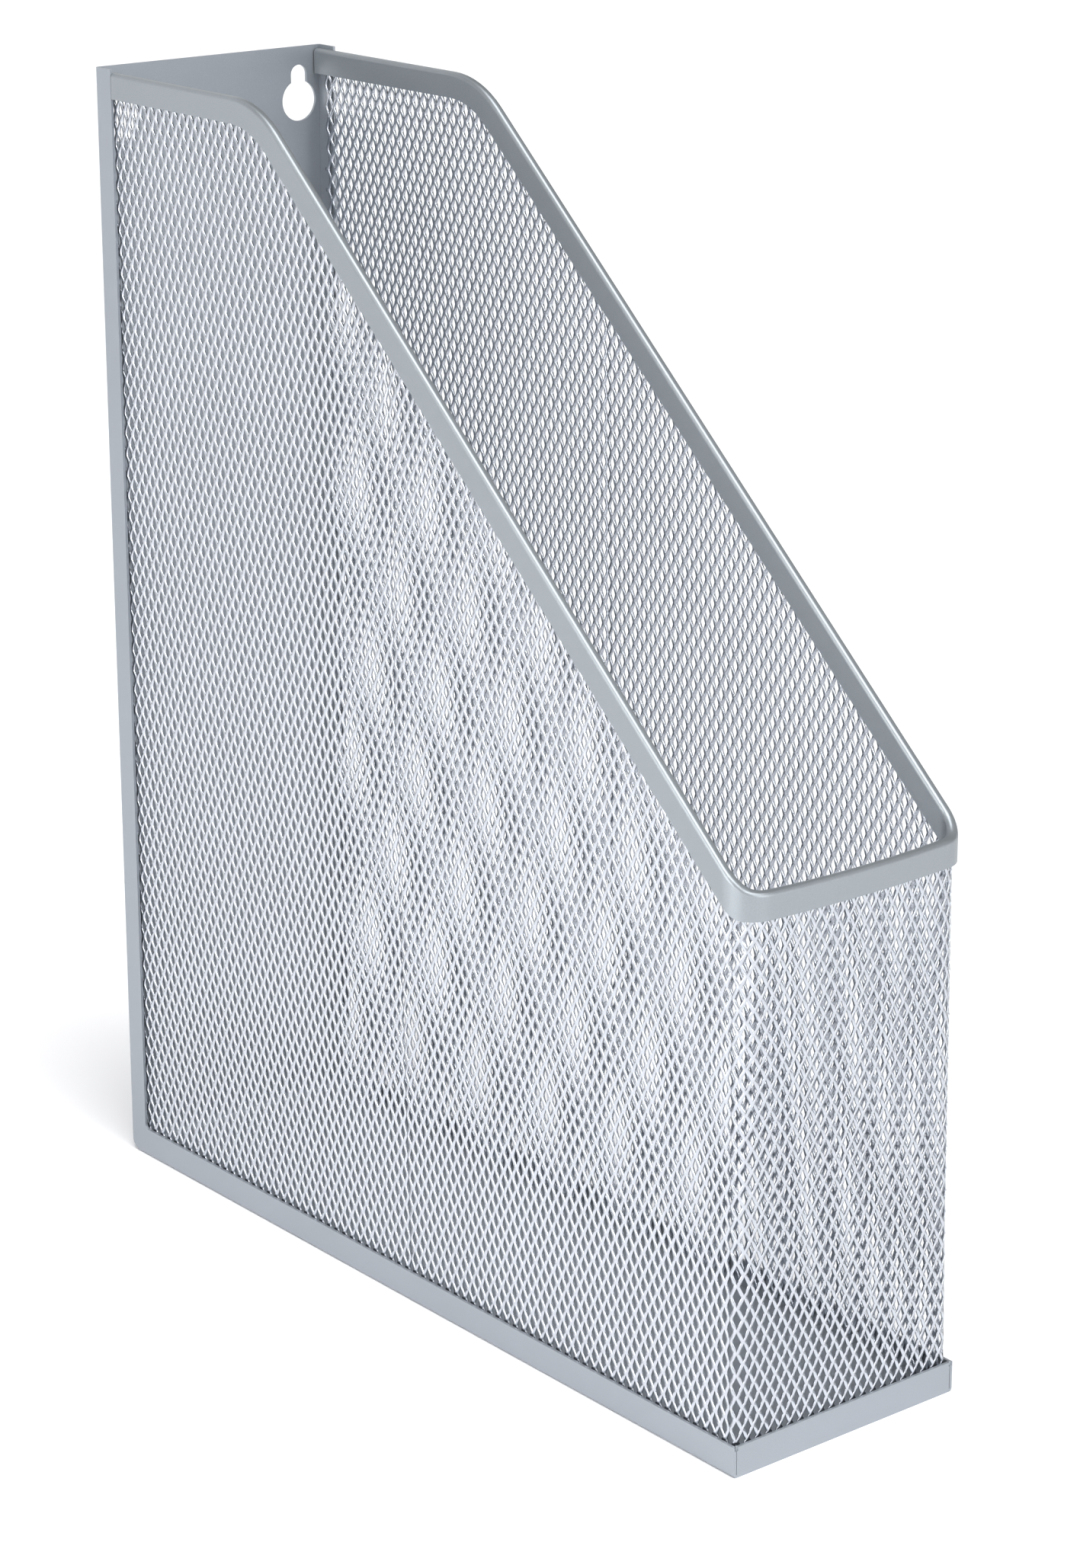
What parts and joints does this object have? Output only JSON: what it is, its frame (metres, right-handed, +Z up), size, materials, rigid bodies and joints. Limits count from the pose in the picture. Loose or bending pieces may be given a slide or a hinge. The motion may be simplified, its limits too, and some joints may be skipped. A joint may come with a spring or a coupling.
{
  "type": "magazine file holder",
  "caption": "Upright magazine file of expanded-metal mesh with a sloping open top, a solid back and base pan, a folded rim and keyholes for wall hanging.",
  "frame": {"origin": "middle of the footprint, on the surface the holder stands on", "axes": "+Z up, +Y towards the tall solid back plate, -Y towards the low front, X across the width"},
  "size_m": [0.076, 0.27, 0.32],
  "materials": {
    "sheet_steel": "satin silver-grey powder coat on sheet steel",
    "mesh_steel": "satin silver powder coat on expanded metal",
    "rim_steel": "satin silver-grey powder coat on folded strip"
  },
  "bodies": {
    "root": {"back_and_base_pan": "sheet_steel", "mesh_wrap": "mesh_steel", "top_rim": "rim_steel"}
  },
  "joints": []
}
